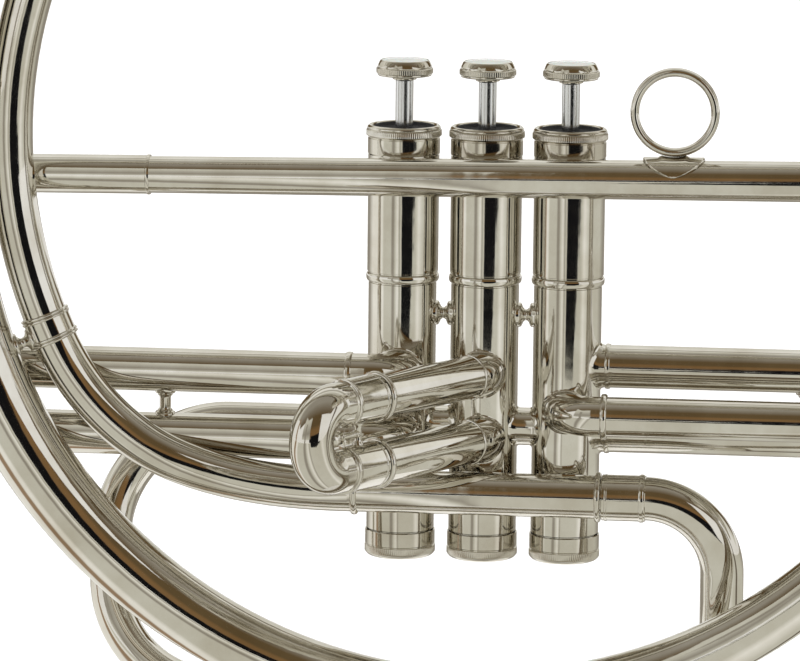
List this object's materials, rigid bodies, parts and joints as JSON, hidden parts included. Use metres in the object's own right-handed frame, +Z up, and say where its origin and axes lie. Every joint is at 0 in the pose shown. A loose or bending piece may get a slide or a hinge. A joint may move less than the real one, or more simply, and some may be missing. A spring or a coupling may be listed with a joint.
{
  "type": "marching french horn",
  "caption": "Round-wrapped valved horn with a forward bell: three pistons switch slide tubes into a conical coil, and a pull slide tunes it.",
  "frame": {"origin": "on the second valve's axis, level with the middle of the coil", "axes": "+X the way the bell points, +Z up along the valve stems, the player's left side is -Y"},
  "size_m": [0.4737, 0.272, 0.4983],
  "materials": {
    "nickel_plate": "bright nickel plate on brass tube",
    "piston_alloy": "ground and lapped",
    "spring_steel": "bright wire",
    "raw_brass": "machined",
    "black_felt": "pressed felt",
    "pale_inlay": "polished"
  },
  "bodies": {
    "horn": {"casing_1": "nickel_plate", "casing_2": "nickel_plate", "casing_3": "nickel_plate", "top_cap_1": "nickel_plate", "top_cap_2": "nickel_plate", "top_cap_3": "nickel_plate", "bottom_cap_1": "nickel_plate", "bottom_cap_2": "nickel_plate", "bottom_cap_3": "nickel_plate", "cap_felt_1": "black_felt", "cap_felt_2": "black_felt", "cap_felt_3": "black_felt", "valve_guide_1": "raw_brass", "valve_guide_2": "raw_brass", "valve_guide_3": "raw_brass", "spring_1": "spring_steel", "spring_2": "spring_steel", "spring_3": "spring_steel", "crossover_1": "nickel_plate", "crossover_2": "nickel_plate", "casing_brace_1": "nickel_plate", "casing_brace_2": "nickel_plate", "receiver": "nickel_plate", "leadpipe": "nickel_plate", "lead_crook": "nickel_plate", "inlet_elbow": "nickel_plate", "finger_ring": "nickel_plate", "ring_saddle": "nickel_plate", "first_leg_upper": "nickel_plate", "first_leg_lower": "nickel_plate", "first_leg_brace": "nickel_plate", "second_leg_upper": "nickel_plate", "second_leg_lower": "nickel_plate", "third_leg_upper": "nickel_plate", "third_leg_lower": "nickel_plate", "third_leg_brace": "nickel_plate", "tuning_leg_upper": "nickel_plate", "tuning_leg_lower": "nickel_plate", "left_crook": "nickel_plate", "first_branch": "nickel_plate", "inner_coil": "nickel_plate", "outer_coil": "nickel_plate", "bell_tail": "nickel_plate", "bell_flare": "nickel_plate", "coil_brace_left": "nickel_plate", "coil_brace_top": "nickel_plate"},
    "valve_1": {"piston_1": "piston_alloy", "button_1": "nickel_plate", "button_inlay_1": "pale_inlay"},
    "valve_2": {"piston_2": "piston_alloy", "button_2": "nickel_plate", "button_inlay_2": "pale_inlay"},
    "valve_3": {"piston_3": "piston_alloy", "button_3": "nickel_plate", "button_inlay_3": "pale_inlay"},
    "tuning_slide": {"tuning_bow": "nickel_plate"},
    "first_slide": {"first_bow": "nickel_plate"},
    "second_slide": {"second_bow": "nickel_plate", "second_stay": "nickel_plate"},
    "third_slide": {"third_bow": "nickel_plate"}
  },
  "joints": [
    {"name": "valve_1_press", "type": "slide", "parent": "horn", "child": "valve_1", "axis": [0, 0, -1], "range_m": [0, 0.0155], "stiffness_N_per_m": 250, "springref_m": -0.012, "deforming": ["spring_1"]},
    {"name": "valve_2_press", "type": "slide", "parent": "horn", "child": "valve_2", "axis": [0, 0, -1], "range_m": [0, 0.0155], "stiffness_N_per_m": 250, "springref_m": -0.012, "deforming": ["spring_2"]},
    {"name": "valve_3_press", "type": "slide", "parent": "horn", "child": "valve_3", "axis": [0, 0, -1], "range_m": [0, 0.0155], "stiffness_N_per_m": 250, "springref_m": -0.012, "deforming": ["spring_3"]},
    {"name": "tuning_slide_pull", "type": "slide", "parent": "horn", "child": "tuning_slide", "axis": [1, 0, 0], "range_m": [0, 0.045]},
    {"name": "first_slide_pull", "type": "slide", "parent": "horn", "child": "first_slide", "axis": [-1, 0, 0], "range_m": [0, 0.07]},
    {"name": "second_slide_pull", "type": "slide", "parent": "horn", "child": "second_slide", "axis": [-0.5446, -0.8387, 0], "range_m": [0, 0.028]},
    {"name": "third_slide_pull", "type": "slide", "parent": "horn", "child": "third_slide", "axis": [1, 0, 0], "range_m": [0, 0.09]}
  ]
}
